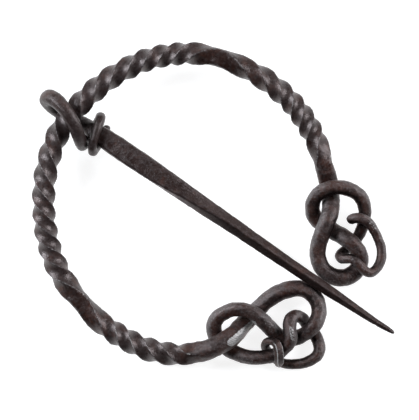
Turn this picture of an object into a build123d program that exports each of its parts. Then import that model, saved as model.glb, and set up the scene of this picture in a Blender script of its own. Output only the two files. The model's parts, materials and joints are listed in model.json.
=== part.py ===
from build123d import *
from collections import namedtuple
from math import cos, radians, sin
import os

import numpy as np
from scipy.interpolate import CubicSpline, PchipInterpolator

# Celtic knot brooch, seen from above: +X right, +Y up the page, +Z towards the viewer.
# All lengths are in millimetres and all angles in degrees.

# Ring: one square bar, twisted, bent to a hoop, its ends drawn out and knotted
bar = 5.0  # side of the square bar
hoop_radius = 39.5  # centre-line of the hoop
knot_size = 27.0  # the knots are drawn on squares of this side
plain_face = 0.96  # across a plain stretch, as a share of the bar
plain_corner = 0.85  # how full its corners are, from 0.55 (round) to 1.2 (square)
twisted_face = 0.96  # across a twisted stretch, as a share of the bar
twisted_corner = 1.15  # how full its corners are there

# Pin: one bar with an eye bent round the hoop
pin_length = 105.0  # from the middle of the eye to the point
shank_width = 5.4  # the broadest part, just past the coil
eye_wire = 3.6  # thickness of the bar where it is bent round the hoop
eye_clearance = 0.5  # all round between the eye and the hoop's corners
eye_angle = 144.0  # where the eye hangs on the hoop, counted from +X
coil_gap = 0.12  # between the coil and the neck that it is wound on
shank_gap = 0.3  # between the shank and the strands of the knots that it lies over

# The distance from the hoop's centre-line to its twisted corners, and to the eye's centre-line
corner_radius = twisted_face * bar / 2 * 2**0.5 * (4 + 3 * twisted_corner) / 8
eye_radius = corner_radius + eye_clearance + eye_wire / 2

# Where the hoop bends away from a true circle: angle, radius as a share of hoop_radius, height as a
# share of the bar, and how twisted its section is, from 0 (a soft plain bar) to 1. The first and last
# rows are where the knots begin.
HoopRow = namedtuple("HoopRow", "angle radius height twisted")
hoop_rows = [
    HoopRow(16, 0.970, -0.07, 0.15),
    HoopRow(22, 0.975, 0.00, 0.50),
    HoopRow(30, 0.981, 0.00, 1.00),
    HoopRow(45, 0.990, 0.00, 1.00),
    HoopRow(60, 0.997, 0.00, 0.95),
    HoopRow(70, 1.005, 0.00, 0.45),
    HoopRow(80, 1.017, 0.00, 0.50),
    HoopRow(90, 1.022, 0.00, 1.00),
    HoopRow(105, 1.016, 0.00, 1.00),
    HoopRow(120, 1.002, 0.00, 1.00),
    HoopRow(135, 0.995, 0.00, 1.00),
    HoopRow(150, 0.999, 0.00, 1.00),
    HoopRow(165, 0.989, 0.00, 1.00),
    HoopRow(180, 0.981, 0.00, 1.00),
    HoopRow(195, 0.987, 0.00, 1.00),
    HoopRow(210, 0.994, 0.00, 0.95),
    HoopRow(222, 0.993, 0.00, 0.40),
    HoopRow(232, 1.006, 0.00, 0.70),
    HoopRow(245, 1.021, 0.00, 1.00),
    HoopRow(258, 1.038, 0.00, 1.00),
    HoopRow(267, 1.039, 0.05, 0.70),
    HoopRow(273, 1.022, 0.14, 0.10),
]

# The twist: quarter turns wound up at each angle. It runs one way, rests at a plain spot at the top,
# comes back the other way down the left side and turns again at the plain spot at the lower left.
TwistRow = namedtuple("TwistRow", "angle quarters")
twist_rows = [
    TwistRow(16.0, 0.0),
    TwistRow(23.8, 0.5),
    TwistRow(37.0, 2.5),
    TwistRow(50.0, 4.5),
    TwistRow(58.5, 5.5),
    TwistRow(68.5, 6.5),
    TwistRow(78.0, 7.0),
    TwistRow(86.2, 6.5),
    TwistRow(99.8, 4.5),
    TwistRow(113.0, 2.5),
    TwistRow(129.0, 0.5),
    TwistRow(144.5, -1.5),
    TwistRow(160.5, -3.5),
    TwistRow(176.8, -5.5),
    TwistRow(191.2, -7.5),
    TwistRow(205.2, -9.5),
    TwistRow(213.8, -10.5),
    TwistRow(222.5, -11.0),
    TwistRow(233.5, -10.5),
    TwistRow(248.2, -8.5),
    TwistRow(263.0, -6.5),
    TwistRow(270.8, -5.5),
    TwistRow(273.0, -5.3),
]

# The knots, from the hoop to the free end. east and north are shares of knot_size from the place
# where the knot begins. height, width and thick are shares of the bar: height is that of the strand's
# middle above the hoop's, so a strand that crosses over another has the greater height there.
KnotRow = namedtuple("KnotRow", "east north height width thick corner")
right_knot = [
    KnotRow(0.049, -0.170, -0.36, 1.03, 0.90, 0.80),
    KnotRow(0.066, -0.270, -0.43, 0.97, 0.83, 0.75),  # under the top of the side loop
    KnotRow(0.072, -0.440, 0.08, 0.95, 0.87, 0.75),
    KnotRow(0.025, -0.605, 0.46, 0.93, 0.80, 0.80),  # over its own return
    KnotRow(-0.042, -0.775, 0.26, 0.89, 0.85, 0.80),
    KnotRow(-0.057, -0.920, 0.04, 0.87, 0.86, 0.75),
    KnotRow(0.010, -1.070, -0.04, 0.91, 0.86, 0.75),
    KnotRow(0.150, -1.140, -0.08, 0.93, 0.85, 0.75),
    KnotRow(0.290, -1.105, -0.15, 0.90, 0.81, 0.75),
    KnotRow(0.366, -0.990, -0.20, 0.88, 0.79, 0.75),  # under the lower hook
    KnotRow(0.336, -0.857, 0.04, 0.88, 0.81, 0.75),
    KnotRow(0.230, -0.753, 0.09, 0.92, 0.81, 0.75),  # over the thin strand
    KnotRow(0.120, -0.685, -0.26, 0.92, 0.81, 0.75),
    KnotRow(0.020, -0.625, -0.47, 0.89, 0.76, 0.75),  # under the first strand
    KnotRow(-0.082, -0.535, -0.38, 0.84, 0.77, 0.70),
    KnotRow(-0.113, -0.420, -0.06, 0.80, 0.73, 0.70),
    KnotRow(-0.064, -0.313, 0.30, 0.79, 0.73, 0.70),
    KnotRow(0.050, -0.248, 0.50, 0.78, 0.71, 0.72),  # over the end of the hoop
    KnotRow(0.215, -0.245, 0.36, 0.80, 0.71, 0.72),
    KnotRow(0.370, -0.336, 0.12, 0.75, 0.69, 0.70),
    KnotRow(0.415, -0.483, -0.14, 0.68, 0.64, 0.68),
    KnotRow(0.391, -0.638, -0.44, 0.65, 0.58, 0.68),
    KnotRow(0.315, -0.778, -0.66, 0.60, 0.53, 0.68),  # under the broad strand
    KnotRow(0.215, -0.871, -0.46, 0.55, 0.52, 0.66),
    KnotRow(0.162, -0.922, -0.10, 0.54, 0.52, 0.64),  # the lower hook's tight turn
    KnotRow(0.182, -0.949, 0.22, 0.55, 0.50, 0.66),
    KnotRow(0.270, -0.949, 0.49, 0.54, 0.46, 0.70),
    KnotRow(0.365, -1.023, 0.54, 0.51, 0.46, 0.75),  # over the broad strand
    KnotRow(0.460, -1.090, 0.30, 0.51, 0.48, 0.72),
    KnotRow(0.541, -1.029, 0.08, 0.53, 0.48, 0.68),
    KnotRow(0.581, -0.915, 0.00, 0.53, 0.48, 0.68),
    KnotRow(0.550, -0.760, 0.02, 0.51, 0.46, 0.72),
    KnotRow(0.491, -0.647, 0.15, 0.52, 0.46, 0.78),
    KnotRow(0.424, -0.571, 0.36, 0.55, 0.46, 0.75),  # over the side loop
    KnotRow(0.331, -0.543, 0.40, 0.57, 0.46, 0.70),
    KnotRow(0.272, -0.561, 0.20, 0.56, 0.48, 0.64),  # the blunt end, turned down
]
lower_knot = [
    KnotRow(0.115, 0.022, 0.31, 1.05, 0.90, 0.82),
    KnotRow(0.235, 0.078, 0.39, 1.06, 0.88, 0.80),  # over its own return
    KnotRow(0.371, 0.159, 0.20, 1.00, 0.88, 0.82),
    KnotRow(0.458, 0.252, -0.28, 0.94, 0.87, 0.82),
    KnotRow(0.544, 0.339, -0.46, 0.94, 0.86, 0.80),  # under the side loop
    KnotRow(0.662, 0.462, -0.38, 0.91, 0.85, 0.78),
    KnotRow(0.795, 0.568, -0.15, 0.89, 0.86, 0.75),
    KnotRow(0.950, 0.630, -0.02, 0.88, 0.86, 0.75),
    KnotRow(1.100, 0.624, 0.00, 0.87, 0.85, 0.75),
    KnotRow(1.208, 0.531, 0.06, 0.84, 0.83, 0.72),
    KnotRow(1.242, 0.398, 0.17, 0.81, 0.81, 0.72),
    KnotRow(1.183, 0.263, 0.42, 0.81, 0.77, 0.75),  # over the thin strand
    KnotRow(1.075, 0.169, -0.03, 0.78, 0.77, 0.75),
    KnotRow(0.960, 0.130, -0.37, 0.81, 0.75, 0.72),  # under the thin strand
    KnotRow(0.843, 0.161, -0.29, 0.80, 0.77, 0.72),
    KnotRow(0.730, 0.264, 0.12, 0.83, 0.77, 0.75),
    KnotRow(0.632, 0.355, 0.44, 0.83, 0.75, 0.78),
    KnotRow(0.528, 0.417, 0.50, 0.77, 0.73, 0.78),  # over the end of the hoop
    KnotRow(0.419, 0.431, 0.39, 0.77, 0.75, 0.75),
    KnotRow(0.299, 0.396, 0.12, 0.79, 0.75, 0.72),
    KnotRow(0.203, 0.309, -0.18, 0.80, 0.75, 0.72),
    KnotRow(0.200, 0.178, -0.47, 0.82, 0.73, 0.72),
    KnotRow(0.275, 0.068, -0.55, 0.81, 0.71, 0.72),  # under the end of the hoop
    KnotRow(0.400, -0.010, -0.33, 0.78, 0.71, 0.72),
    KnotRow(0.540, -0.051, -0.06, 0.76, 0.68, 0.72),
    KnotRow(0.680, -0.050, 0.05, 0.74, 0.60, 0.75),
    KnotRow(0.798, -0.027, 0.04, 0.74, 0.60, 0.78),  # gripped by the tail
    KnotRow(0.893, 0.039, 0.18, 0.70, 0.62, 0.75),
    KnotRow(0.953, 0.143, 0.48, 0.75, 0.63, 0.72),  # over the side loop's strand
    KnotRow(0.944, 0.268, 0.33, 0.74, 0.63, 0.72),
    KnotRow(0.981, 0.352, 0.11, 0.70, 0.60, 0.66),
    KnotRow(1.051, 0.351, -0.12, 0.67, 0.58, 0.66),
    KnotRow(1.120, 0.280, -0.50, 0.65, 0.57, 0.68),
    KnotRow(1.183, 0.198, -0.57, 0.68, 0.54, 0.68),  # under the big loop
    KnotRow(1.235, 0.097, -0.29, 0.63, 0.56, 0.68),
    KnotRow(1.239, -0.004, -0.14, 0.62, 0.56, 0.68),
    KnotRow(1.163, -0.080, -0.10, 0.59, 0.54, 0.68),
    KnotRow(1.030, -0.118, -0.16, 0.55, 0.50, 0.68),
    KnotRow(0.888, -0.114, -0.34, 0.53, 0.48, 0.68),
    KnotRow(0.780, -0.052, -0.57, 0.50, 0.44, 0.70),  # under the gripped strand
    KnotRow(0.718, 0.020, -0.50, 0.49, 0.44, 0.70),
    KnotRow(0.702, 0.076, -0.14, 0.47, 0.42, 0.70),
    KnotRow(0.745, 0.112, 0.27, 0.45, 0.38, 0.75),  # the tail's small curl
    KnotRow(0.806, 0.090, 0.58, 0.41, 0.31, 0.90),
    KnotRow(0.836, -0.007, 0.63, 0.41, 0.27, 1.00),  # the hammered strip, over it
    KnotRow(0.846, -0.122, 0.19, 0.39, 0.25, 1.00),
]

# The pin's shank, from the point to the neck: distance from the eye as a share of pin_length, offset
# to the side as a share of shank_width, height of its middle as a share of the bar before it is laid
# on the knots, width and thickness as shares of shank_width, and the turn of its section.
ShankRow = namedtuple("ShankRow", "reach side height width thick corner turn")
shank_rows = [
    ShankRow(1.000, 0.80, 0.63, 0.10, 0.10, 0.70, 45),
    ShankRow(0.996, 0.80, 0.63, 0.17, 0.18, 0.75, 45),
    ShankRow(0.963, 0.75, 0.61, 0.25, 0.26, 0.90, 45),
    ShankRow(0.896, 0.68, 0.56, 0.34, 0.34, 1.00, 45),
    ShankRow(0.770, 0.58, 0.47, 0.47, 0.46, 1.05, 45),
    ShankRow(0.650, 0.50, 0.38, 0.53, 0.52, 1.05, 45),
    ShankRow(0.520, 0.43, 0.27, 0.61, 0.62, 1.05, 44),
    ShankRow(0.390, 0.35, 0.13, 0.76, 0.70, 1.00, 24),
    ShankRow(0.260, 0.28, -0.02, 0.99, 0.77, 1.00, 1),
    ShankRow(0.160, 0.21, -0.18, 1.06, 0.78, 0.95, 0),
    ShankRow(0.108, 0.18, -0.27, 0.99, 0.74, 0.90, 0),
    ShankRow(0.077, 0.17, -0.37, 0.86, 0.70, 0.85, 0),
]

# The eye, from the neck under the hoop and back over it: inward, side and height as shares of
# eye_radius from the hoop's centre-line, and the bar's size there as a share of eye_wire.
EyeRow = namedtuple("EyeRow", "inward side height size")
eye_rows = [
    EyeRow(0.98, 0.15, -0.65, 1.12),
    EyeRow(0.45, 0.09, -0.95, 1.08),
    EyeRow(-0.10, -0.03, -1.02, 1.06),
    EyeRow(-0.65, -0.06, -0.90, 1.08),
    EyeRow(-1.14, -0.03, -0.53, 1.13),
    EyeRow(-1.41, 0.09, 0.00, 1.20),
    EyeRow(-1.27, 0.25, 0.55, 1.18),
    EyeRow(-0.80, 0.28, 0.90, 1.12),
    EyeRow(-0.20, 0.13, 1.03, 1.03),
    EyeRow(0.35, -0.10, 0.98, 1.00),
    EyeRow(0.80, -0.38, 0.72, 0.98),
]

# The coil, wound round the neck: angle about the neck from its upper-page side, distance from the eye
# as a share of eye_radius, how far it stands off the neck and its size, both as shares of eye_wire.
CoilRow = namedtuple("CoilRow", "angle reach slack size")
coil_rows = [
    CoilRow(178, 1.33, 0.22, 0.95),
    CoilRow(225, 1.34, 0.28, 0.92),
    CoilRow(270, 1.32, 0.20, 0.86),
    CoilRow(315, 1.28, 0.09, 0.85),
    CoilRow(360, 1.25, 0.05, 0.83),
    CoilRow(405, 1.35, 0.05, 0.80),
    CoilRow(450, 1.53, 0.08, 0.74),
    CoilRow(495, 1.73, 0.08, 0.71),
    CoilRow(540, 1.94, 0.15, 0.76),
    CoilRow(585, 1.96, 0.08, 0.66),
    CoilRow(630, 1.92, 0.08, 0.64),
    CoilRow(670, 1.80, 0.14, 0.58),
]


def on_hoop(angle, radius_share):
    """The point of the hoop's centre-line at an angle."""
    r = hoop_radius * radius_share
    return Vector(r * cos(radians(angle)), r * sin(radians(angle)))


def hoop_stations():
    """The hoop's sections: place, width, thickness, corner and turn."""
    shape = PchipInterpolator([row.angle for row in hoop_rows], [row[1:] for row in hoop_rows])
    wound = PchipInterpolator([row.angle for row in twist_rows], [row.quarters for row in twist_rows])
    stations = []
    angle = hoop_rows[0].angle
    while angle < hoop_rows[-1].angle - 0.5:
        radius, height, twisted = shape(angle)
        place = on_hoop(angle, radius) + Vector(0, 0, height * bar)
        across = bar * (plain_face + (twisted_face - plain_face) * twisted)
        corner = plain_corner + (twisted_corner - plain_corner) * twisted
        turn = 90 * float(wound(angle))
        stations.append((place, across, across, corner, turn))
        quarters_per_degree = abs(float(wound(angle + 1) - wound(angle)))
        angle += min(3.0, 0.25 / max(quarters_per_degree, 0.01))
    return stations


def knot_stations(rows, entry, turn):
    """A knot's sections, one for each row, from the hoop to the free end."""
    return [
        (
            entry + Vector(row.east * knot_size, row.north * knot_size, row.height * bar),
            row.width * bar,
            row.thick * bar,
            row.corner,
            turn,
        )
        for row in rows
    ]


def smooth(stations, spacing):
    """Closer sections, on a smooth route through the given ones, and closest where it bends."""
    points = np.array([tuple(s[0]) for s in stations])
    steps = np.linalg.norm(np.diff(points, axis=0), axis=1)
    along = np.concatenate([[0], np.cumsum(steps)])
    route = CubicSpline(along, points)
    shape = PchipInterpolator(along, [s[1:] for s in stations])
    sections = []
    s = 0.0
    while s < along[-1]:
        way = Vector(*route(s, 1)).normalized()
        sections.append((Vector(*route(s)), way, *shape(s)))
        step = spacing
        while step > spacing / 8:
            bend = way.get_angle(Vector(*route(s + step, 1)))
            wind = abs(shape(s + step)[-1] - shape(s)[-1])
            if bend < 16 and wind < 24:
                break
            step *= 0.85
        s += step
    end = along[-1]
    sections.append((Vector(*route(end)), Vector(*route(end, 1)).normalized(), *shape(end)))
    return sections


def rounded_end(section, previous, steps=4):
    """Ever smaller sections that close a strand's end with a dome, outwards from its last section."""
    place, way, width, thick, *shape = section
    outward = (place - previous[0]).normalized()
    reach = 0.42 * min(width, thick)
    dome = []
    for k in range(1, steps + 1):
        a = radians(82 * k / steps)
        middle = place + outward * (reach * sin(a))
        dome.append((middle, way, width * cos(a), thick * cos(a), *shape))
    return dome


def outline(plane, width, thick, corner, turn):
    """A four-cornered section: four curves, each from the middle of a face round to the next."""
    curves = []
    for face in range(4):
        a = radians(90 * face + turn)
        curves.append(Edge.make_bezier(*[
            plane.from_local_coords(
                (
                    (x * cos(a) - y * sin(a)) * width / 2,
                    (x * sin(a) + y * cos(a)) * thick / 2,
                )
            )
            for x, y in [(1, 0), (1, corner), (corner, 1), (0, 1)]
        ]))
    return curves


def skin(outlines):
    """A closed solid over a row of outlines."""
    faces = [
        Face.make_surface_from_curves(curve, next_curve)
        for here, there in zip(outlines, outlines[1:])
        for curve, next_curve in zip(here, there)
    ]
    faces += [Face(Wire(outlines[0])), Face(Wire(outlines[-1]))]
    return Solid(Shell(faces))


# The ring's sections stand square to its route, with their width level
right_entry = on_hoop(hoop_rows[0].angle, hoop_rows[0].radius)
lower_entry = on_hoop(hoop_rows[-1].angle, hoop_rows[-1].radius)
last_turn = 90 * twist_rows[-1].quarters
ring_sections = smooth(
    knot_stations(right_knot, right_entry, 0.0)[::-1]
    + hoop_stations()
    + knot_stations(lower_knot, lower_entry, last_turn),
    spacing=0.4 * bar,
)
ring_sections = (
    rounded_end(ring_sections[0], ring_sections[1])[::-1]
    + ring_sections
    + rounded_end(ring_sections[-1], ring_sections[-2])
)

with BuildPart() as ring:
    ring_outlines = [
        outline(Plane(place, x_dir=Vector(0, 0, 1).cross(way), z_dir=way), *shape)
        for place, way, *shape in ring_sections
    ]
    add(skin(ring_outlines))
ring.part.label = "ring"

# The pin is laid out from the middle of its eye: inward along the hoop's radius, to the side along
# the hoop, and up
eye_place = on_hoop(eye_angle, PchipInterpolator(
    [row.angle for row in hoop_rows], [row.radius for row in hoop_rows]
)(eye_angle))
inward = Vector(-1, 0).rotate(Axis.Z, eye_angle)
sideways = Vector(0, 1).rotate(Axis.Z, eye_angle - 180)
up = Vector(0, 0, 1)


def from_eye(reach, side, height):
    return eye_place + inward * reach + sideways * side + up * height


def laid_on(strands):
    """How far the point is raised or lowered to lie shank_gap above the strands that it crosses."""
    rows = sorted(shank_rows)
    reaches = [row.reach * pin_length for row in rows]
    shank = PchipInterpolator(reaches, [
        (row.side * shank_width, row.height * bar, row.width * shank_width, row.thick * shank_width)
        for row in rows
    ])
    lifts = []
    for place, way, width, thick, *shape in strands:
        reach = (place - eye_place).dot(inward)
        if reaches[0] < reach < reaches[-1]:
            side, height, shank_across, shank_thick = shank(reach)
            apart = abs((place - eye_place).dot(sideways) - side) / ((width + shank_across) / 2)
            if apart < 1:
                touching = place.Z + (thick + shank_thick) / 2 * (1 - apart**3) ** (1 / 3)
                lifts.append((touching + shank_gap - height) * pin_length / reach)
    return max(lifts, default=0.0)


point_lift = laid_on(ring_sections)
shank_line = [
    (
        row.reach * pin_length,
        row.side * shank_width,
        row.height * bar + row.reach * point_lift,
        row.width * shank_width,
        row.thick * shank_width,
    )
    for row in shank_rows
]
shank_stations = [
    (from_eye(reach, side, height), width, thick, row.corner, row.turn)
    for (reach, side, height, width, thick), row in zip(shank_line, shank_rows)
]
eye_stations = [
    (
        from_eye(row.inward * eye_radius, row.side * eye_radius, row.height * eye_radius),
        row.size * eye_wire,
        row.size * eye_wire * 0.94,
        0.75,
        0.0,
    )
    for row in eye_rows
]


def coil_stations():
    """The coil's sections, wound on the neck at coil_gap from it."""
    wound_on = sorted(shank_line[-5:] + [
        (row.inward * eye_radius, row.side * eye_radius, row.height * eye_radius,
         row.size * eye_wire, row.size * eye_wire)
        for row in eye_rows[:2]
    ])
    at = PchipInterpolator([row[0] for row in wound_on], [row[1:] for row in wound_on])
    stations = []
    for row in coil_rows:
        reach = row.reach * eye_radius
        side, height, width, thick = at(reach)
        wire = row.size * eye_wire
        gap = coil_gap + row.slack * eye_wire + wire / 2
        a = radians(row.angle)
        neck = ((abs(cos(a)) / width) ** 4 + (abs(sin(a)) / thick) ** 4) ** -0.25 / 2
        stations.append((
            from_eye(reach, side + (neck + gap) * cos(a), height + (neck + gap) * sin(a)),
            wire,
            wire * 0.9,
            0.75,
            0.0,
        ))
    return stations


def follow(sections, first_side):
    """Planes for the sections that turn as little as the route allows, from a first side."""
    planes = []
    side = first_side
    for place, way, *shape in sections:
        side = (side - way * side.dot(way)).normalized()
        planes.append(Plane(place, x_dir=side, z_dir=way))
    return planes


pin_sections = smooth(shank_stations + eye_stations + coil_stations(), spacing=0.36 * eye_wire)
pin_sections = pin_sections + rounded_end(pin_sections[-1], pin_sections[-2])

with BuildPart() as pin:
    pin_planes = follow(pin_sections, sideways)
    add(skin([
        outline(plane, *section[2:]) for plane, section in zip(pin_planes, pin_sections)
    ]))
pin.part.label = "pin"

# At rest the brooch lies on the coil and on the lowest strand of each knot
def underside(sections):
    """The lowest point of a run of sections."""
    place, way, width, thick, *shape = min(sections, key=lambda s: s[0].Z - s[3] / 2)
    return place - up * (thick / 2)


under_coil = underside(pin_sections)
under_right = underside(ring_sections[:len(ring_sections) // 3])
under_lower = underside(ring_sections[-len(ring_sections) // 3:])
normal = (under_lower - under_coil).cross(under_right - under_coil).normalized()
tilt = Plane(under_coil, x_dir=Vector(1, 0, 0) - normal * normal.X, z_dir=normal)
level = tilt.location.inverse()
box = (level * ring.part).bounding_box().add((level * pin.part).bounding_box())
to_origin = Location((-box.center().X, -box.center().Y, -box.min.Z))
placed = to_origin * level

os.makedirs("parts", exist_ok=True)
for piece in (ring, pin):
    finished = placed * piece.part
    finished.label = piece.part.label
    export_step(finished, f"parts/{finished.label}.step")
    size = finished.bounding_box().size
    print(finished.label, "valid", finished.is_valid, "volume", round(finished.volume, 1),
          "size", [round(v, 2) for v in size])
hinge = placed * Location(Plane(eye_place, x_dir=inward, z_dir=sideways))
hinge_axis = Plane(hinge).z_dir
print("eye's middle", [round(v, 3) for v in hinge.position], "axis", [round(v, 4) for v in hinge_axis])
print("tilt", round(normal.get_angle(up), 2))
print("point raised", round(point_lift, 2), "point", [round(v, 3) for v in (
    placed * Location(Plane(pin_sections[0][0], z_dir=pin_sections[0][1]))
).position])
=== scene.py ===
import json
import math
from collections import namedtuple

import bpy
import numpy as np
from mathutils import Matrix, Vector, noise


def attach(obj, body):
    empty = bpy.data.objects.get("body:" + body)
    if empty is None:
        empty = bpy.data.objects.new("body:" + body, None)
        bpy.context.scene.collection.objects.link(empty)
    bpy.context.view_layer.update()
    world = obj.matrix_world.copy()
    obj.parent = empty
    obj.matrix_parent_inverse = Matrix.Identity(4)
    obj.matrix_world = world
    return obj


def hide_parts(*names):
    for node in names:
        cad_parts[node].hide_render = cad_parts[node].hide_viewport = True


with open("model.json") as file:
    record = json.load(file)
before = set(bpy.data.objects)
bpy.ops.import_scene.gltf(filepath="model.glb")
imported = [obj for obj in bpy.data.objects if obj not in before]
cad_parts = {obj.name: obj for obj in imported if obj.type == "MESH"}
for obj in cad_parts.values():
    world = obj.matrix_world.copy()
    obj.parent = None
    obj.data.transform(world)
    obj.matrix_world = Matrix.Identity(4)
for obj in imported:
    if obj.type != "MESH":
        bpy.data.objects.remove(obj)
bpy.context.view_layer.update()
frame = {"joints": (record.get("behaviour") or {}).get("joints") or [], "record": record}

# The ring. One bar of black iron, 5 mm square, is heated and wound up in three stretches, bent to
# an open hoop, and its two ends are drawn out thinner and rounder under the hammer and tied in
# knots. Lengths are in millimetres until the mesh is made.
mm = 0.001
bar = 5.0
hoop_radius = 39.5
knot_size = 27.0  # the knots are drawn on squares of this side
face_share = 0.96  # what hammer and fire leave of the bar's width
plain_corner, twisted_corner = 0.85, 1.15  # how full the corners are: 0.55 is round, 1 is tight

# angle round the hoop, radius as a share of hoop_radius, height as a share of the bar, and how
# twisted the bar is there
HoopRow = namedtuple("HoopRow", "angle radius height twisted")
hoop_rows = [
    HoopRow(16, 0.970, -0.07, 0.15),
    HoopRow(22, 0.975, 0.00, 0.50),
    HoopRow(30, 0.981, 0.00, 1.00),
    HoopRow(45, 0.990, 0.00, 1.00),
    HoopRow(60, 0.997, 0.00, 0.95),
    HoopRow(70, 1.005, 0.00, 0.45),
    HoopRow(80, 1.017, 0.00, 0.50),
    HoopRow(90, 1.022, 0.00, 1.00),
    HoopRow(105, 1.016, 0.00, 1.00),
    HoopRow(120, 1.002, 0.00, 1.00),
    HoopRow(135, 0.995, 0.00, 1.00),
    HoopRow(150, 0.999, 0.00, 1.00),
    HoopRow(165, 0.989, 0.00, 1.00),
    HoopRow(180, 0.981, 0.00, 1.00),
    HoopRow(195, 0.987, 0.00, 1.00),
    HoopRow(210, 0.994, 0.00, 0.95),
    HoopRow(222, 0.993, 0.00, 0.40),
    HoopRow(232, 1.006, 0.00, 0.70),
    HoopRow(245, 1.021, 0.00, 1.00),
    HoopRow(258, 1.038, 0.00, 1.00),
    HoopRow(267, 1.039, 0.05, 0.70),
    HoopRow(273, 1.022, 0.14, 0.10),
]

# quarter turns wound up at each angle; the twist changes hands at two plain spots
TwistRow = namedtuple("TwistRow", "angle quarters")
twist_rows = [
    TwistRow(16.0, 0.0),
    TwistRow(23.8, 0.5),
    TwistRow(37.0, 2.5),
    TwistRow(50.0, 4.5),
    TwistRow(58.5, 5.5),
    TwistRow(68.5, 6.5),
    TwistRow(78.0, 7.0),
    TwistRow(86.2, 6.5),
    TwistRow(99.8, 4.5),
    TwistRow(113.0, 2.5),
    TwistRow(129.0, 0.5),
    TwistRow(144.5, -1.5),
    TwistRow(160.5, -3.5),
    TwistRow(176.8, -5.5),
    TwistRow(191.2, -7.5),
    TwistRow(205.2, -9.5),
    TwistRow(213.8, -10.5),
    TwistRow(222.5, -11.0),
    TwistRow(233.5, -10.5),
    TwistRow(248.2, -8.5),
    TwistRow(263.0, -6.5),
    TwistRow(270.8, -5.5),
    TwistRow(273.0, -5.3),
]

# the two knots, from the hoop to the free end: east and north are shares of knot_size, and height,
# width and thick are shares of the bar
KnotRow = namedtuple("KnotRow", "east north height width thick corner")
right_knot = [
    KnotRow(0.049, -0.170, -0.36, 1.03, 0.90, 0.80),
    KnotRow(0.066, -0.270, -0.43, 0.97, 0.83, 0.75),  # under the top of the side loop
    KnotRow(0.072, -0.440, 0.08, 0.95, 0.87, 0.75),
    KnotRow(0.025, -0.605, 0.46, 0.93, 0.80, 0.80),  # over its own return
    KnotRow(-0.042, -0.775, 0.26, 0.89, 0.85, 0.80),
    KnotRow(-0.057, -0.920, 0.04, 0.87, 0.86, 0.75),
    KnotRow(0.010, -1.070, -0.04, 0.91, 0.86, 0.75),
    KnotRow(0.150, -1.140, -0.08, 0.93, 0.85, 0.75),
    KnotRow(0.290, -1.105, -0.15, 0.90, 0.81, 0.75),
    KnotRow(0.366, -0.990, -0.20, 0.88, 0.79, 0.75),  # under the lower hook
    KnotRow(0.336, -0.857, 0.04, 0.88, 0.81, 0.75),
    KnotRow(0.230, -0.753, 0.09, 0.92, 0.81, 0.75),  # over the thin strand
    KnotRow(0.120, -0.685, -0.26, 0.92, 0.81, 0.75),
    KnotRow(0.020, -0.625, -0.47, 0.89, 0.76, 0.75),  # under the first strand
    KnotRow(-0.082, -0.535, -0.38, 0.84, 0.77, 0.70),
    KnotRow(-0.113, -0.420, -0.06, 0.80, 0.73, 0.70),
    KnotRow(-0.064, -0.313, 0.30, 0.79, 0.73, 0.70),
    KnotRow(0.050, -0.248, 0.50, 0.78, 0.71, 0.72),  # over the end of the hoop
    KnotRow(0.215, -0.245, 0.36, 0.80, 0.71, 0.72),
    KnotRow(0.370, -0.336, 0.12, 0.75, 0.69, 0.70),
    KnotRow(0.415, -0.483, -0.14, 0.68, 0.64, 0.68),
    KnotRow(0.391, -0.638, -0.44, 0.65, 0.58, 0.68),
    KnotRow(0.315, -0.778, -0.66, 0.60, 0.53, 0.68),  # under the broad strand
    KnotRow(0.215, -0.871, -0.46, 0.55, 0.52, 0.66),
    KnotRow(0.162, -0.922, -0.10, 0.54, 0.52, 0.64),  # the lower hook's tight turn
    KnotRow(0.182, -0.949, 0.22, 0.55, 0.50, 0.66),
    KnotRow(0.270, -0.949, 0.49, 0.54, 0.46, 0.70),
    KnotRow(0.365, -1.023, 0.54, 0.51, 0.46, 0.75),  # over the broad strand
    KnotRow(0.460, -1.090, 0.30, 0.51, 0.48, 0.72),
    KnotRow(0.541, -1.029, 0.08, 0.53, 0.48, 0.68),
    KnotRow(0.581, -0.915, 0.00, 0.53, 0.48, 0.68),
    KnotRow(0.550, -0.760, 0.02, 0.51, 0.46, 0.72),
    KnotRow(0.491, -0.647, 0.15, 0.52, 0.46, 0.78),
    KnotRow(0.424, -0.571, 0.36, 0.55, 0.46, 0.75),  # over the side loop
    KnotRow(0.331, -0.543, 0.40, 0.57, 0.46, 0.70),
    KnotRow(0.272, -0.561, 0.20, 0.56, 0.48, 0.64),  # the blunt end, turned down
]
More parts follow.
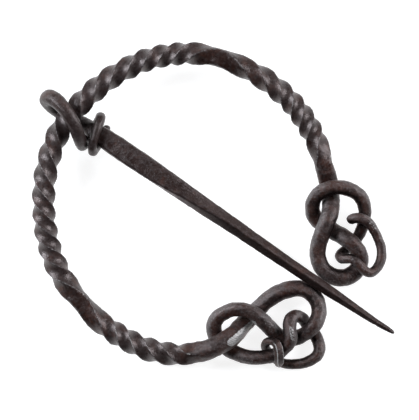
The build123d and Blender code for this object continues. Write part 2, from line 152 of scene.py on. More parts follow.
lower_knot = [
    KnotRow(0.115, 0.022, 0.31, 1.05, 0.90, 0.82),
    KnotRow(0.235, 0.078, 0.39, 1.06, 0.88, 0.80),  # over its own return
    KnotRow(0.371, 0.159, 0.20, 1.00, 0.88, 0.82),
    KnotRow(0.458, 0.252, -0.28, 0.94, 0.87, 0.82),
    KnotRow(0.544, 0.339, -0.46, 0.94, 0.86, 0.80),  # under the side loop
    KnotRow(0.662, 0.462, -0.38, 0.91, 0.85, 0.78),
    KnotRow(0.795, 0.568, -0.15, 0.89, 0.86, 0.75),
    KnotRow(0.950, 0.630, -0.02, 0.88, 0.86, 0.75),
    KnotRow(1.100, 0.624, 0.00, 0.87, 0.85, 0.75),
    KnotRow(1.208, 0.531, 0.06, 0.84, 0.83, 0.72),
    KnotRow(1.242, 0.398, 0.17, 0.81, 0.81, 0.72),
    KnotRow(1.183, 0.263, 0.42, 0.81, 0.77, 0.75),  # over the thin strand
    KnotRow(1.075, 0.169, -0.03, 0.78, 0.77, 0.75),
    KnotRow(0.960, 0.130, -0.37, 0.81, 0.75, 0.72),  # under the thin strand
    KnotRow(0.843, 0.161, -0.29, 0.80, 0.77, 0.72),
    KnotRow(0.730, 0.264, 0.12, 0.83, 0.77, 0.75),
    KnotRow(0.632, 0.355, 0.44, 0.83, 0.75, 0.78),
    KnotRow(0.528, 0.417, 0.50, 0.77, 0.73, 0.78),  # over the end of the hoop
    KnotRow(0.419, 0.431, 0.39, 0.77, 0.75, 0.75),
    KnotRow(0.299, 0.396, 0.12, 0.79, 0.75, 0.72),
    KnotRow(0.203, 0.309, -0.18, 0.80, 0.75, 0.72),
    KnotRow(0.200, 0.178, -0.47, 0.82, 0.73, 0.72),
    KnotRow(0.275, 0.068, -0.55, 0.81, 0.71, 0.72),  # under the end of the hoop
    KnotRow(0.400, -0.010, -0.33, 0.78, 0.71, 0.72),
    KnotRow(0.540, -0.051, -0.06, 0.76, 0.68, 0.72),
    KnotRow(0.680, -0.050, 0.05, 0.74, 0.60, 0.75),
    KnotRow(0.798, -0.027, 0.04, 0.74, 0.60, 0.78),  # gripped by the tail
    KnotRow(0.893, 0.039, 0.18, 0.70, 0.62, 0.75),
    KnotRow(0.953, 0.143, 0.48, 0.75, 0.63, 0.72),  # over the side loop's strand
    KnotRow(0.944, 0.268, 0.33, 0.74, 0.63, 0.72),
    KnotRow(0.981, 0.352, 0.11, 0.70, 0.60, 0.66),
    KnotRow(1.051, 0.351, -0.12, 0.67, 0.58, 0.66),
    KnotRow(1.120, 0.280, -0.50, 0.65, 0.57, 0.68),
    KnotRow(1.183, 0.198, -0.57, 0.68, 0.54, 0.68),  # under the big loop
    KnotRow(1.235, 0.097, -0.29, 0.63, 0.56, 0.68),
    KnotRow(1.239, -0.004, -0.14, 0.62, 0.56, 0.68),
    KnotRow(1.163, -0.080, -0.10, 0.59, 0.54, 0.68),
    KnotRow(1.030, -0.118, -0.16, 0.55, 0.50, 0.68),
    KnotRow(0.888, -0.114, -0.34, 0.53, 0.48, 0.68),
    KnotRow(0.780, -0.052, -0.57, 0.50, 0.44, 0.70),  # under the gripped strand
    KnotRow(0.718, 0.020, -0.50, 0.49, 0.44, 0.70),
    KnotRow(0.702, 0.076, -0.14, 0.47, 0.42, 0.70),
    KnotRow(0.745, 0.112, 0.27, 0.45, 0.38, 0.75),  # the tail's small curl
    KnotRow(0.806, 0.090, 0.58, 0.41, 0.31, 0.90),
    KnotRow(0.836, -0.007, 0.63, 0.41, 0.27, 1.00),  # the hammered strip, over it
    KnotRow(0.846, -0.122, 0.19, 0.39, 0.25, 1.00),
]


def bends(along, points):
    """The slopes, at given points, of the cubic spline that runs through them."""
    h = np.diff(along)
    secant = np.diff(points, axis=0) / h[:, None]
    n = len(along)
    left, right = np.zeros((n, n)), np.zeros_like(points)
    for i in range(1, n - 1):
        left[i, i - 1:i + 2] = h[i], 2 * (h[i - 1] + h[i]), h[i - 1]
        right[i] = 3 * (h[i] * secant[i - 1] + h[i - 1] * secant[i])
    left[0, :2] = h[1], h[0] + h[1]
    right[0] = ((3 * h[0] + 2 * h[1]) * h[1] * secant[0] + h[0] ** 2 * secant[1]) / (h[0] + h[1])
    left[-1, -2:] = h[-1] + h[-2], h[-2]
    right[-1] = (h[-1] ** 2 * secant[-2]
                 + (3 * h[-1] + 2 * h[-2]) * h[-2] * secant[-1]) / (h[-1] + h[-2])
    return np.linalg.solve(left, right)


def eases(along, values):
    """Slopes that carry the values from row to row without overshooting."""
    h = np.diff(along)[:, None]
    secant = np.diff(values, axis=0) / h
    before, after = secant[:-1], secant[1:]
    w1, w2 = 2 * h[1:] + h[:-1], h[1:] + 2 * h[:-1]
    same = before * after > 0
    mean = (w1 + w2) / (w1 / np.where(same, before, 1) + w2 / np.where(same, after, 1))
    return np.concatenate([secant[:1], np.where(same, mean, 0), secant[-1:]])


def read(along, values, slopes, at):
    """The values between the rows, from the rows' values and slopes."""
    at = np.atleast_1d(at)
    i = np.clip(np.searchsorted(along, at) - 1, 0, len(along) - 2)
    h = (along[i + 1] - along[i])[:, None]
    t = (at - along[i])[:, None] / h
    return (
        (1 + 2 * t) * (1 - t) ** 2 * values[i]
        + t * (1 - t) ** 2 * h * slopes[i]
        + t * t * (3 - 2 * t) * values[i + 1]
        + t * t * (t - 1) * h * slopes[i + 1]
    )


def eased(rows):
    """A function that reads a table's other columns at any value of its first."""
    rows = np.array(rows, float)
    slopes = eases(rows[:, 0], rows[:, 1:])
    return lambda at: read(rows[:, 0], rows[:, 1:], slopes, at)


def on_hoop(angle, radius_share):
    """The point of the hoop's centre-line at an angle."""
    a = math.radians(angle)
    return hoop_radius * radius_share * np.array([math.cos(a), math.sin(a), 0.0])


def route(stations, spacing):
    """Even sections on the smooth route through the stations: how far along, middle, way, shape."""
    stations = np.array(stations)
    points = stations[:, :3]
    steps = np.linalg.norm(np.diff(points, axis=0), axis=1)
    along = np.concatenate([[0], np.cumsum(steps)])
    at = np.linspace(0, along[-1], int(along[-1] / spacing))
    middle = read(along, points, bends(along, points), at)
    way = np.gradient(middle, axis=0)
    way /= np.linalg.norm(way, axis=1, keepdims=True)
    return at, middle, way, read(along, stations[:, 3:], eases(along, stations[:, 3:]), at)


def domed(at, middle, way, shape, sides, steps=7):
    """The same sections with ever smaller ones added, which round off both ends."""
    bulge, widest = 0.42, 84  # a share of the end's smaller side, and degrees of the dome's arc
    a = np.radians(np.linspace(0, widest, steps + 1)[1:])[:, None]
    for end, out in ((0, -1), (-1, 1)):
        reach = bulge * min(shape[end][:2])
        smaller = np.repeat(shape[end][None], steps, 0)
        smaller[:, :2] *= np.cos(a)
        dome = (
            at[end] + out * reach * np.sin(a[:, 0]),
            middle[end] + way[end] * out * reach * np.sin(a),
            np.repeat(way[end][None], steps, 0),
            smaller,
            np.repeat(sides[end][None], steps, 0),
        )
        at, middle, way, shape, sides = (
            np.concatenate([new[::-1], old] if end == 0 else [old, new])
            for new, old in zip(dome, (at, middle, way, shape, sides))
        )
    return at, middle, way, shape, sides


def outlines(middle, way, shape, sides, per_face):
    """The points of every section, and how near its four corners each one is, from 0 to 1."""
    width, thick, corner, turn = (column[:, None] for column in shape.T[:4])
    v = np.linspace(-1, 1, per_face + 1)[:-1]
    u = 0.5 + 0.5 * np.sign(v) * np.abs(v) ** 1.4  # closer together at the corners
    b0, b1, b2, b3 = (1 - u) ** 3, 3 * (1 - u) ** 2 * u, 3 * (1 - u) * u * u, u**3
    across, up = [], []
    for face in range(4):
        a = np.radians(90 * face + turn)
        x = b0 + b1 + b2 * corner
        y = b1 * corner + b2 + b3
        across.append(x * np.cos(a) - y * np.sin(a))
        up.append(x * np.sin(a) + y * np.cos(a))
    across, up = np.concatenate(across, 1), np.concatenate(up, 1)
    cornered = np.tile(1 - np.abs(2 * u - 1), 4) + 0 * across
    second = np.cross(way, sides)
    places = (middle[:, None] + (across * width / 2)[..., None] * sides[:, None]
              + (up * thick / 2)[..., None] * second[:, None])
    return places, cornered


def outward(places):
    """The direction straight out of the skin at every point."""
    along = np.gradient(places, axis=0)
    round_ = np.roll(places, -1, 1) - np.roll(places, 1, 1)
    n = np.cross(round_, along)
    n /= np.linalg.norm(n, axis=2, keepdims=True) + 1e-12
    middle = places.mean(1, keepdims=True)
    return n * np.sign(np.sum((places - middle) * n))


# marks of the hammer and the fire: how deep and how wide they are, in millimetres
SkinMark = namedtuple("SkinMark", "depth size seed")


def lumps(places, mark):
    """Smooth random heights, about -1 to 1, over features of the mark's size."""
    shift = Vector((mark.seed * 7.3, mark.seed * 3.1, -mark.seed * 5.7))
    flat = places.reshape(-1, 3) / mark.size
    return np.array([noise.noise(Vector(p) + shift) for p in flat]).reshape(places.shape[:2])


def hammered(places, mark):
    """Shallow overlapping dents: 0 in the middle of each, 1 on the ridges between them."""
    shift = Vector((mark.seed * 2.9, -mark.seed * 4.3, mark.seed * 6.1))
    flat = places.reshape(-1, 3) / mark.size
    near = np.array([noise.voronoi(Vector(p) + shift)[0][:2] for p in flat])
    return (near[:, 0] / near[:, 1]).reshape(places.shape[:2]) ** 2


def flaked(places, mark):
    """Small hollows where scale came off: 0 between them, up to 1 inside."""
    return np.clip(lumps(places, mark) - 0.25, 0, 1) / 0.75


def relaxed(values, rounds):
    """Values evened out with their neighbours along and round the bar."""
    for _ in range(rounds):
        ends = np.concatenate([values[:1], values, values[-1:]])
        values = (2 * values + ends[2:] + ends[:-2]
                  + np.roll(values, 1, 1) + np.roll(values, -1, 1)) / 6
    return values


def proud(places, normals, rounds, scale):
    """How far each point stands out of the skin round it: above 0 on ridges, below 0 in folds."""
    return np.clip(np.sum((places - relaxed(places, rounds)) * normals, 2) / scale, -1, 1)


def bar_mesh(name, places, marks):
    """A closed skin over the sections, with named values at its points, in metres."""
    n, m = places.shape[:2]
    verts = np.concatenate([places.reshape(-1, 3), places[:1].mean(1), places[-1:].mean(1)])
    i, j = np.meshgrid(np.arange(n - 1), np.arange(m), indexing="ij")
    a, b = i * m + j, i * m + (j + 1) % m
    quads = np.stack([a, b, b + m, a + m], 2).reshape(-1, 4).tolist()
    last = (n - 1) * m
    fans = [[n * m, (k + 1) % m, k] for k in range(m)]
    fans += [[n * m + 1, last + k, last + (k + 1) % m] for k in range(m)]
    mesh = bpy.data.meshes.new(name)
    mesh.from_pydata((laid_down(verts) * mm).tolist(), [], quads + fans)
    mesh.validate()
    for mark, values in marks.items():
        flat = np.concatenate([values.reshape(-1), [values[0].mean(), values[-1].mean()]])
        stored = mesh.attributes.new(mark, "FLOAT", "POINT")
        stored.data.foreach_set("value", flat.astype(np.float32))
    mesh.update()
    piece = bpy.data.objects.new(name, mesh)
    bpy.context.scene.collection.objects.link(piece)
    mesh.shade_smooth()
    return piece


# where the brooch lies: the hoop is drawn flat on the page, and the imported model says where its
# hinge and its point are once it rests on the coil and the knots
hinge = frame["joints"][0]
point_mount = next(m for m in frame["record"]["mounts"] if m["name"] == "pin_point")
pin_length, shank_width, eye_angle = 105.0, 5.4, 144.0
point_side, point_height = 0.80, 0.63  # the point's place, as shares of shank_width and bar
point_lift = -0.16  # the point was lowered by this when the shank was laid on the knots
hoop_at = eased(hoop_rows)
eye_place = on_hoop(eye_angle, hoop_at(eye_angle)[0][0])
inward = -on_hoop(eye_angle, 1) / hoop_radius
sideways = np.cross([0, 0, 1.0], inward)
to_point = (inward * pin_length + sideways * point_side * shank_width
            + np.array([0, 0, point_height * bar + point_lift]))


def axes(first, second):
    """Three square axes, the first along one direction and the second nearest to another."""
    first = first / np.linalg.norm(first)
    second = second - first * np.dot(first, second)
    second = second / np.linalg.norm(second)
    return np.stack([first, second, np.cross(first, second)], 1)


hinge_place = np.array(hinge["pos_m"]) / mm
turned = (axes(-np.array(hinge["axis"]), np.array(point_mount["pos_m"]) / mm - hinge_place)
          @ axes(sideways, to_point).T)


def laid_down(points):
    """Points of the untilted hoop, moved to where the brooch lies on the coil and the knots."""
    return (points - eye_place) @ turned.T + hinge_place


wound = eased(twist_rows)
widest_step, quarters_a_step = 3.0, 0.25  # degrees round the hoop, and quarter turns of the twist
# a station is a place, then the section's width, thickness, corners, turn and share of twist
hoop_stations = []
angle = float(hoop_rows[0].angle)
while angle < hoop_rows[-1].angle - 0.5:
    radius, height, twisted = hoop_at(angle)[0]
    corner = plain_corner + (twisted_corner - plain_corner) * twisted
    quarters = wound(angle)[0][0]
    hoop_stations.append([*(on_hoop(angle, radius) + [0, 0, height * bar]), bar * face_share,
                          bar * face_share, corner, 90 * quarters, twisted])
    pace = abs(wound(angle + 1)[0][0] - quarters)
    angle += min(widest_step, quarters_a_step / max(pace, 0.01))


def knot_stations(rows, entry, turn):
    """A knot's sections, one for each row, from the hoop to the free end."""
    return [
        [*(entry + [r.east * knot_size, r.north * knot_size, r.height * bar]),
         r.width * bar, r.thick * bar, r.corner, turn, 0.0]
        for r in rows
    ]


right_entry = on_hoop(hoop_rows[0].angle, hoop_rows[0].radius)
lower_entry = on_hoop(hoop_rows[-1].angle, hoop_rows[-1].radius)
ring_spacing = 0.38
at, middle, way, shape = route(
    knot_stations(right_knot, right_entry, 0.0)[::-1] + hoop_stations
    + knot_stations(lower_knot, lower_entry, 90 * twist_rows[-1].quarters),
    ring_spacing,
)
# the strands of the knots are hammered nearly round, and only fuller corners than this stay
kept_corner, round_corner, rounding = 0.85, 0.58, 0.85
softened = (1 - shape[:, 4]) * np.clip((kept_corner - shape[:, 2]) / 0.05, 0, 1)
shape[:, 2] -= rounding * softened * np.clip(shape[:, 2] - round_corner, 0, 1)
sides = np.cross([0, 0, 1.0], way)
sides /= np.linalg.norm(sides, axis=1, keepdims=True)
at, middle, way, shape, sides = domed(at, middle, way, shape, sides)
places, cornered = outlines(middle, way, shape, sides, per_face=14)
skin_out = outward(places)

# the smith's work on the surface: slow unevenness, hammer dents, faces that swell between the
# corners where the bar is wound up, and pits of scale; the wound-up corners are burred, and so are
# those of the flat strip at the tail's end, which are the fullest that aren't wound up
sway, ripple, dent = SkinMark(0.13, 7.0, 1), SkinMark(0.07, 2.2, 2), SkinMark(0.18, 3.0, 3)
crust, pit, nick = SkinMark(0.05, 0.8, 4), SkinMark(0.11, 1.1, 5), SkinMark(0.12, 0.9, 6)
swell, burr_height, burr_width, strip_corner = 0.11, 0.05, 0.10, 0.86
wire = np.minimum(shape[:, 0], shape[:, 1])[:, None] / bar
twisted = shape[:, 4][:, None]
strip = (1 - twisted) * np.clip((shape[:, 2] - strip_corner)[:, None] / 0.08, 0, 1)
burr = np.maximum(twisted, strip) * np.exp(-((1 - cornered) / (burr_width + 0.12 * strip)) ** 2)
height = (
    sway.depth * wire * lumps(places, sway)
    + ripple.depth * wire * lumps(places, ripple)
    + dent.depth * wire * (1 - 0.7 * twisted) * (hammered(places, dent) - 0.5)
    + (crust.depth - 0.03 * twisted) * lumps(places, crust)
    + swell * twisted * np.clip(1 - cornered / 0.75, 0, 1)
    + burr * (burr_height + nick.depth * lumps(places, nick))
    - (pit.depth - 0.05 * twisted) * flaked(places, pit)
)
places = places + skin_out * height[..., None]
skin_out = outward(places)

# filed patches and painted highlight patches, each from one place to another on the page
BrightPatch = namedtuple("BrightPatch", "east north to_east to_north radius strength")


def bright_patches_at(places, skin_out, patches):
    """How bright each point is filed, or painted as a highlight, on the side that shows from above.
    """
    filed_or_highlit = np.zeros(places.shape[:2])
    for patch in patches:
        start = np.array([patch.east, patch.north])
        run = np.array([patch.to_east, patch.to_north]) - start
        from_start = places[..., :2] - start
        share = np.clip(from_start @ run / (run @ run), 0, 1)[..., None]
        apart = np.linalg.norm(from_start - share * run, axis=2) / patch.radius
        # full in the middle, and gone a little past the radius
        filed_or_highlit = np.maximum(filed_or_highlit, patch.strength * np.clip(1.9 - 1.6 * apart, 0, 1))
    faces_up = skin_out[..., 2] > 0.15
    on_top = places[..., 2] > -0.8  # not on a strand that passes underneath
    return filed_or_highlit * faces_up * on_top


filed_or_highlit = bright_patches_at(places, skin_out, [
    BrightPatch(11.9, -37.6, 17.7, -32.9, 1.2, 1.00),  # the lower knot's first strand
    # the next two are painted highlights on the lower knot's strands
    BrightPatch(28.0, -33.6, 28.5, -36.8, 0.9, 0.42),  # where it rises over the side loop's
    BrightPatch(20.6, -31.2, 22.6, -33.2, 1.2, 0.34),  # where it slants down beside that
    BrightPatch(47.4, -17.2, 49.6, -19.0, 1.0, 0.30),  # the right knot's thin outer loop
    BrightPatch(49.4, -5.4, 50.6, -7.0, 0.7, 0.40),
])
filed_or_highlit = np.maximum(filed_or_highlit, strip * burr * (skin_out[..., 2] > -0.3))  # the strip's bright edges

# 1 on the knots and 0 on the hoop
hoop_start = at[np.argmin(np.linalg.norm(middle - right_entry, axis=1))]
hoop_end = at[np.argmin(np.linalg.norm(middle - lower_entry, axis=1))]
knotted = np.clip(np.maximum(hoop_start - at, at - hoop_end) / 6 + 0.5, 0, 1)[:, None]

# each knot's outer flanks that face left and right, towards the windows, get a painted highlight,
# and its inner flanks get painted shade
knot_middles = ((42.7, -7.5), (20.3, -31.8))  # right and lower, on the page
knot_reach, fading = 21.0, 3.0
painted_flank_highlight, painted_shade = np.zeros_like(burr), np.zeros_like(burr)
for knot_middle in knot_middles:
    apart = places[..., :2] - np.array(knot_middle)
    reach = np.linalg.norm(apart, axis=2)
    outwards = np.sum(apart * skin_out[..., :2], 2) / reach
    near = knotted * np.clip((knot_reach - reach) / fading, 0, 1)
    painted_flank_highlight += near * np.clip(2.4 * outwards - 0.5, 0, 1) * np.abs(skin_out[..., 0])
    painted_shade += near * np.clip(-2.2 * outwards - 0.5, 0, 1)

# how many rounds of evening out, and how many millimetres count as standing fully proud
narrow_ridge, broad_crown = (10, 0.055), (60, 0.30)
ring = bar_mesh("ring_forged", places, {
    "ridge": proud(places, skin_out, *narrow_ridge) - strip * (1 - burr),
    "crown": proud(places, skin_out, *broad_crown),
    "burr": burr,
    "filed_or_highlit": filed_or_highlit,
    "painted_flank_highlight": painted_flank_highlight,
    "painted_shade": painted_shade,
    "knotted": knotted + 0 * burr,
})


class Socket:
    """A node's output. Sums and products of it add the Math nodes that work them out."""

    def __init__(self, tree, output=None):
        self.tree, self.output = tree, output

    def node(self, kind, settings=None, inputs=None, output=0):
        """Any other node: its settings first, then its sockets' values or links."""
        made = self.tree.nodes.new(kind)
        for name, value in (settings or {}).items():
            setattr(made, name, value)
        for name, value in (inputs or {}).items():
            if isinstance(value, Socket):
                self.tree.links.new(value.output, made.inputs[name])
            else:
                made.inputs[name].default_value = value
        return Socket(self.tree, made.outputs[output] if made.outputs else None)

    def math(self, operation, *values, clamp=False):
        return self.node("ShaderNodeMath", {"operation": operation, "use_clamp": clamp},
                         dict(enumerate(values)))

    def __add__(self, other):
        return self.math("ADD", self, other)

    def __sub__(self, other):
        return self.math("SUBTRACT", self, other)

    def __rsub__(self, other):
        return self.math("SUBTRACT", other, self)

    def __mul__(self, other):
        return self.math("MULTIPLY", self, other)

    __radd__, __rmul__ = __add__, __mul__

    def limited(self):
        """The same value, kept from 0 to 1."""
        return self.math("ADD", self, 0.0, clamp=True)

    def between(self, low, high):
        """0 below low, 1 above high, and a smooth step between them."""
        return self.node("ShaderNodeMapRange", {"interpolation_type": "SMOOTHSTEP"},
                         {"Value": self, "From Min": low, "From Max": high})

    def colour(self, low, high):
        """A colour between two others, by this value."""
        return self.node("ShaderNodeMix", {"data_type": "RGBA"},
                         {0: self, 6: low, 7: high}, output=2)


def forged_iron(name, rust, shine, spread):
    """Iron with black fire scale under wax: brown in patches, rubbed grey on what stands proud,
    with painted highlight and painted shade where the mesh carries them.
    """
    material = bpy.data.materials.new(name)
    material.use_nodes = True
    material.node_tree.nodes.clear()
    iron = Socket(material.node_tree)
    where = iron.node("ShaderNodeTexCoord", output="Object")

    def speckle(size, detail=3.0, rough=0.6):
        """Random values round 0.5, over features of a size in millimetres."""
        return iron.node("ShaderNodeTexNoise", {"noise_dimensions": "3D"}, {
            "Vector": where, "Scale": 1 / (size * mm), "Detail": detail, "Roughness": rough})

    def mark(attribute):
        """A value that the mesh carries at its points."""
        return iron.node("ShaderNodeAttribute", {"attribute_name": attribute}, output="Fac")

    ridge, crown, burred, filed_or_highlit, painted_flank_highlight, painted_shade, knotted = map(
        mark, ("ridge", "crown", "burr", "filed_or_highlit", "painted_flank_highlight", "painted_shade", "knotted"))
    patches, mottle = speckle(9.0), speckle(2.4)
    grain, fine = speckle(0.62, rough=0.7), speckle(0.28, detail=2.0, rough=0.7)
    mottled, grainy = mottle - 0.5, grain - 0.5  # either side of 0

    # fire scale, from black to brown in broad patches, and rust where the patches are brownest
    black, brown = (0.0084, 0.0033, 0.0026, 1), (0.0190, 0.0080, 0.0060, 1)
    rusty = (0.046, 0.0160, 0.0095, 1)
    broad = patches * 0.4 + mottle * 0.6
    scale = broad.between(0.49 - spread, 0.49 + spread).colour(black, brown)
    rusting = (broad + (knotted * 0.06 + 0.02) * rust).between(0.525, 0.655)
    scale = (rusting * (grain * 0.5 + 0.3)).limited().colour(scale, rusty)

    # worn grey where the skin stands proud, and the same grey as a painted highlight on the knots'
    # outer flanks; nearly black in the folds and pits
    grey, deep = (0.058, 0.050, 0.050, 1), (0.002, 0.0010, 0.0010, 1)
    wear_and_painted_highlight = ((ridge * (0.45 - knotted * 0.3) + crown * 0.15 + burred * 0.9 + painted_flank_highlight * 1.1
             + grainy * (knotted * 1.8 + 1.4) + mottled * (knotted * 0.6 + 0.3)
             + knotted * 0.12).between(0.10, 1.2) * shine)
    sunk = (ridge * -0.9 + crown * -0.25 + (0.44 - grain) * 1.5).between(0.25, 1.25)
    scale = (sunk * 0.9).colour(wear_and_painted_highlight.colour(scale, grey), deep)

    # painted highlight in pale grey on the knots' outer flanks, and painted shade, near black, on
    # their inner flanks and on the pin's side away from the windows
    painted_highlight_grey, painted_shade_black = (0.150, 0.139, 0.137, 1), (0.011, 0.0080, 0.0078, 1)
    scale = (painted_flank_highlight * (grainy * 1.6 + 0.35)).limited().colour(scale, painted_highlight_grey)
    scale = (painted_shade * 0.9).colour(scale, painted_shade_black)

    # bare metal where it is filed, hatched by the file, and on the burrs, and the same steel grey
    # as a painted highlight on the highlight patches; bright specks anywhere
    steel_and_highlight_grey, grit = (0.36, 0.355, 0.35, 1), (0.24, 0.225, 0.215, 1)
    hatch = iron.node("ShaderNodeTexWave", {"wave_type": "BANDS", "bands_direction": "DIAGONAL"}, {
        "Vector": where, "Scale": 900.0, "Distortion": 2.5, "Detail": 2.0, "Detail Scale": 2.0})
    bare_or_painted_highlight = ((filed_or_highlit * (hatch * 0.15 + grainy * 1.6 + 0.95)).between(0.34, 0.60)
            * (hatch * 0.4 + (fine - 0.5) * 1.8 + 0.65)
            + burred * grain.between(0.50, 0.62) * 0.5).limited()
    specks = ((fine * 0.7 + grain * 0.3).between(0.57, 0.67)
              * (knotted * 0.4 + painted_flank_highlight * 0.8 + 0.15))
    base = bare_or_painted_highlight.colour((specks * shine * 0.8).limited().colour(scale, grit), steel_and_highlight_grey)

    roughness = (knotted * 0.06 + mottled * 0.15 + grainy * 0.35 - wear_and_painted_highlight * 0.03
                 + sunk * 0.3 + bare_or_painted_highlight * 0.14 + 0.34).limited()
    metallic = (wear_and_painted_highlight * 0.2 + bare_or_painted_highlight * 0.5 + specks * 0.4 + painted_shade * 0.85 + 0.04).limited()
    roughened = ((grain * 0.6 + fine * 0.5 + mottle * 0.3) * (knotted * 0.3 + 0.35)
                 + hatch * filed_or_highlit * 0.12)
    bump = iron.node("ShaderNodeBump", {}, {
        "Height": roughened, "Strength": 0.9, "Distance": 0.34 * mm})
    skin = iron.node("ShaderNodeBsdfPrincipled", {}, {
        "Base Color": base, "Roughness": roughness, "Metallic": metallic, "Normal": bump,
        "Specular IOR Level": 0.44, "Specular Tint": (0.98, 0.87, 0.86, 1)})
    iron.node("ShaderNodeOutputMaterial", {}, {"Surface": skin})
    return material


ring.data.materials.append(forged_iron("ring_iron", rust=1.0, shine=0.75, spread=0.18))
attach(ring, "ring")
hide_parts("ring")

# The pin. One bar of the same iron: a shank that tapers to a point, four-sided with softened
# edges, a slimmer neck, and an end that is bent round the hoop as an eye and wound round the neck.
eye_wire, eye_clearance, coil_gap = 3.6, 0.5, 0.12
eye_flatness, coil_flatness, wire_corner = 0.94, 0.90, 0.63
# half across the corners of the wound-up bar, which the eye turns round
corner_radius = face_share * bar / 2 * 2**0.5 * (4 + 3 * twisted_corner) / 8
eye_radius = corner_radius + eye_clearance + eye_wire / 2

# the shank from its point: distance from the eye as a share of pin_length, the rest as in the ring
ShankRow = namedtuple("ShankRow", "reach side height width thick corner turn")
shank_rows = [
    ShankRow(1.000, point_side, point_height, 0.10, 0.10, 0.70, 45),
    ShankRow(0.996, point_side, point_height, 0.17, 0.18, 0.75, 45),
    ShankRow(0.963, 0.75, 0.61, 0.25, 0.26, 0.90, 45),
    ShankRow(0.896, 0.68, 0.56, 0.34, 0.34, 1.00, 45),
    ShankRow(0.770, 0.58, 0.47, 0.47, 0.46, 1.05, 45),
    ShankRow(0.650, 0.50, 0.38, 0.53, 0.52, 1.05, 45),
    ShankRow(0.520, 0.43, 0.27, 0.61, 0.62, 1.05, 44),
    ShankRow(0.390, 0.35, 0.13, 0.76, 0.70, 1.00, 24),
    ShankRow(0.260, 0.28, -0.02, 0.99, 0.77, 1.00, 1),
    ShankRow(0.160, 0.21, -0.18, 1.06, 0.78, 0.95, 0),
    ShankRow(0.108, 0.18, -0.27, 0.99, 0.74, 0.90, 0),
    ShankRow(0.077, 0.17, -0.37, 0.86, 0.70, 0.85, 0),
]

# the eye round the hoop, in shares of eye_radius and eye_wire
EyeRow = namedtuple("EyeRow", "inward side height size")
eye_rows = [
    EyeRow(0.98, 0.15, -0.65, 1.12),
    EyeRow(0.45, 0.09, -0.95, 1.08),
    EyeRow(-0.10, -0.03, -1.02, 1.06),
    EyeRow(-0.65, -0.06, -0.90, 1.08),
    EyeRow(-1.14, -0.03, -0.53, 1.13),
    EyeRow(-1.41, 0.09, 0.00, 1.20),
    EyeRow(-1.27, 0.25, 0.55, 1.18),
    EyeRow(-0.80, 0.28, 0.90, 1.12),
    EyeRow(-0.20, 0.13, 1.03, 1.03),
    EyeRow(0.35, -0.10, 0.98, 1.00),
    EyeRow(0.80, -0.38, 0.72, 0.98),
]

# the coil round the neck: angle about the neck, and shares of eye_radius and eye_wire
CoilRow = namedtuple("CoilRow", "angle reach slack size")
coil_rows = [
    CoilRow(178, 1.33, 0.22, 0.95),
    CoilRow(225, 1.34, 0.28, 0.92),
    CoilRow(270, 1.32, 0.20, 0.86),
    CoilRow(315, 1.28, 0.09, 0.85),
    CoilRow(360, 1.25, 0.05, 0.83),
    CoilRow(405, 1.35, 0.05, 0.80),
    CoilRow(450, 1.53, 0.08, 0.74),
    CoilRow(495, 1.73, 0.08, 0.71),
    CoilRow(540, 1.94, 0.15, 0.76),
    CoilRow(585, 1.96, 0.08, 0.66),
    CoilRow(630, 1.92, 0.08, 0.64),
    CoilRow(670, 1.80, 0.14, 0.58),
]


def from_eye(reach, side, height_):
    """A point by its distance from the middle of the eye: inward, to the side and up."""
    return eye_place + inward * reach + sideways * side + np.array([0, 0, height_])


shank_line = [
    (r.reach * pin_length, r.side * shank_width, r.height * bar + r.reach * point_lift,
     r.width * shank_width, r.thick * shank_width)
    for r in shank_rows
]
pin_stations = [
    [*from_eye(*line[:3]), line[3], line[4], r.corner, r.turn]
    for line, r in zip(shank_line, shank_rows)
]
pin_stations += [
    [*from_eye(r.inward * eye_radius, r.side * eye_radius, r.height * eye_radius),
     r.size * eye_wire, r.size * eye_wire * eye_flatness, wire_corner, 0.0]
    for r in eye_rows
]
# the coil hugs the neck, which is where the shank runs into the eye
neck_rows = shank_line[-5:] + [
    (r.inward * eye_radius, r.side * eye_radius, r.height * eye_radius,
     r.size * eye_wire, r.size * eye_wire)
    for r in eye_rows[:2]
]
neck_at = eased(sorted(neck_rows))
for r in coil_rows:
    side, height_, width, thick = neck_at(r.reach * eye_radius)[0]
    coil_wire = r.size * eye_wire
    a = math.radians(r.angle)
    # the neck's half width in the coil's direction; it is a square with rounded corners
    neck = ((abs(math.cos(a)) / width) ** 4 + (abs(math.sin(a)) / thick) ** 4) ** -0.25 / 2
    off = neck + coil_gap + r.slack * eye_wire + coil_wire / 2
    pin_stations.append([
        *from_eye(r.reach * eye_radius, side + off * math.cos(a), height_ + off * math.sin(a)),
        coil_wire, coil_wire * coil_flatness, wire_corner, 0.0])

pin_spacing = 0.36
at, middle, way, shape = route(pin_stations, pin_spacing)
# the side of each section is carried along the bar, with no twist of its own
sides, side = [], sideways
for direction in way:
    side = side - direction * np.dot(side, direction)
    side = side / np.linalg.norm(side)
    sides.append(side)
sides = np.array(sides)
flattening = 0.2  # under the shank's crest, where its section stands on edge
shape[:, 1] *= 1 - flattening * np.clip(shape[:, 3] / 45, 0, 1)
at, middle, way, shape, sides = domed(at, middle, way, shape, sides)
places, cornered = outlines(middle, way, shape, sides, per_face=12)
skin_out = outward(places)

sway, ripple, dent = SkinMark(0.10, 8.0, 11), SkinMark(0.06, 2.4, 12), SkinMark(0.13, 2.8, 13)
crust, pit = SkinMark(0.035, 0.8, 14), SkinMark(0.08, 1.1, 15)
wire = np.minimum(shape[:, 0], shape[:, 1])[:, None] / bar
height = (
    sway.depth * wire * lumps(places, sway)
    + ripple.depth * wire * lumps(places, ripple)
    + dent.depth * wire * (hammered(places, dent) - 0.5)
    + crust.depth * lumps(places, crust)
    - pit.depth * flaked(places, pit)
)
places = places + skin_out * height[..., None]
skin_out = outward(places)

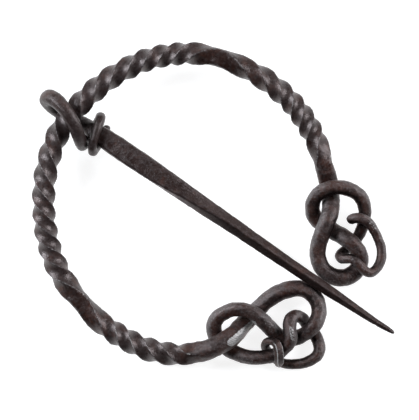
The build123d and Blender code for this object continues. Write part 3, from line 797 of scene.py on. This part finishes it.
# the shank gets a painted highlight along its crest where it lies on the knots, and painted shade
# on its side away from the windows, from its point to a little before the neck
none = np.zeros_like(cornered)
painted_crest_highlight = bright_patches_at(places, skin_out, [BrightPatch(30.6, -17.9, 38.6, -23.5, 0.45, 0.30)])
dark_way = (-0.50, -0.86)  # on the page
deepest_painted_shade, before_neck, fading = 0.45, 12.0, 8.0
shank = np.clip((pin_length - at - before_neck) / fading, 0, 1)[:, None]
painted_shade_side = shank * np.clip(2 * skin_out[..., :2] @ np.array(dark_way) - 0.5, 0, deepest_painted_shade)
pin = bar_mesh("pin_forged", places, {
    "ridge": proud(places, skin_out, *narrow_ridge),
    "crown": proud(places, skin_out, *broad_crown),
    "burr": none,
    "filed_or_highlit": painted_crest_highlight,
    "painted_flank_highlight": none,
    "painted_shade": painted_shade_side,
    "knotted": 0.4 + none,
})
pin.data.materials.append(forged_iron("pin_iron", rust=0.0, shine=0.7, spread=0.34))
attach(pin, "pin")
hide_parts("pin")

# The table that the brooch lies on: a plain sheet of white paper that glows a little from below, in
# a warm dark room with daylight from two large soft windows and a faint one at the top.
half_sheet = 3.0  # metres, so that no edge shows
sheet_mesh = bpy.data.meshes.new("table_sheet")
sheet_mesh.from_pydata(
    [(-half_sheet, -half_sheet, 0), (half_sheet, -half_sheet, 0),
     (half_sheet, half_sheet, 0), (-half_sheet, half_sheet, 0)], [], [(0, 1, 2, 3)])
sheet = bpy.data.objects.new("table_sheet", sheet_mesh)
bpy.context.scene.collection.objects.link(sheet)
paper = bpy.data.materials.new("white_sheet")
paper.use_nodes = True
paper_skin = paper.node_tree.nodes["Principled BSDF"]
paper_skin.inputs["Base Color"].default_value = (0.32, 0.32, 0.32, 1)
paper_skin.inputs["Roughness"].default_value = 0.9
paper_skin.inputs["Emission Color"].default_value = (1, 1, 1, 1)
paper_skin.inputs["Emission Strength"].default_value = 0.86
sheet_mesh.materials.append(paper)

# the walls glow faintly, the ceiling less, and least of all on the side away from the windows
wall_glow, ceiling_glow, dark_share = 0.08, 0.02, 0.85
world = bpy.data.worlds.new("room")
world.use_nodes = True
room = Socket(world.node_tree)
looking_at = room.node("ShaderNodeTexCoord")
upwards = room.node("ShaderNodeSeparateXYZ", {}, {"Vector": looking_at}, output=2)
dark_side = room.node("ShaderNodeVectorMath", {"operation": "DOT_PRODUCT"},
                      {0: looking_at, 1: (*dark_way, 0.0)}, output=1)
walls = ((upwards.between(0.92, 0.60) * wall_glow + ceiling_glow)
         * (1 - dark_side.between(-0.1, 0.7) * dark_share))
air = world.node_tree.nodes["Background"]
room.tree.links.new(walls.output, air.inputs["Strength"])
air.inputs["Color"].default_value = (1.0, 0.86, 0.83, 1)
bpy.context.scene.world = world

# azimuth as on the page (0 to the right, 90 up the page) and elevation in degrees, distance and
# size in metres, power in watts
Window = namedtuple("Window", "name azimuth elevation distance size power colour")
windows = [
    Window("window_left", 158, 37, 1.50, 0.85, 38.0, (0.88, 0.94, 1.0)),
    Window("window_right", 20, 29, 1.50, 0.85, 27.0, (0.94, 0.96, 1.0)),
    Window("window_top", 85, 42, 1.50, 0.80, 1.5, (1.0, 0.99, 0.98)),
]
for w in windows:
    light = bpy.data.lights.new(w.name, "AREA")
    light.shape, light.size, light.energy, light.color = "DISK", w.size, w.power, w.colour
    lamp = bpy.data.objects.new(w.name, light)
    a, e = math.radians(w.azimuth), math.radians(w.elevation)
    lamp.location = w.distance * Vector((math.cos(a) * math.cos(e), math.sin(a) * math.cos(e),
                                         math.sin(e)))
    lamp.rotation_euler = lamp.location.to_track_quat("Z", "Y").to_euler()
    bpy.context.scene.collection.objects.link(lamp)

# The camera, square above the hoop as in the photograph. Its frame is 419 by 420 pixels, and each
# pixel is 0.27 mm of the hoop's own plane, which leans a little on the table.
pixel, frame_height = 0.27, 420
photo_centre = (6.02, -1.94)  # the middle of the frame, from the middle of the hoop
camera_height, sensor = 1200.0, 36.0
camera_data = bpy.data.cameras.new("camera")
camera_data.sensor_width = sensor
camera_data.lens = sensor * camera_height / (frame_height * pixel)
camera = bpy.data.objects.new("camera", camera_data)
looking = Matrix([list(row) for row in turned]).to_4x4()
looking.translation = Vector(laid_down(np.array([*photo_centre, camera_height])) * mm)
camera.matrix_world = looking
bpy.context.scene.collection.objects.link(camera)
bpy.context.scene.camera = camera
bpy.context.scene.view_settings.view_transform = "Standard"
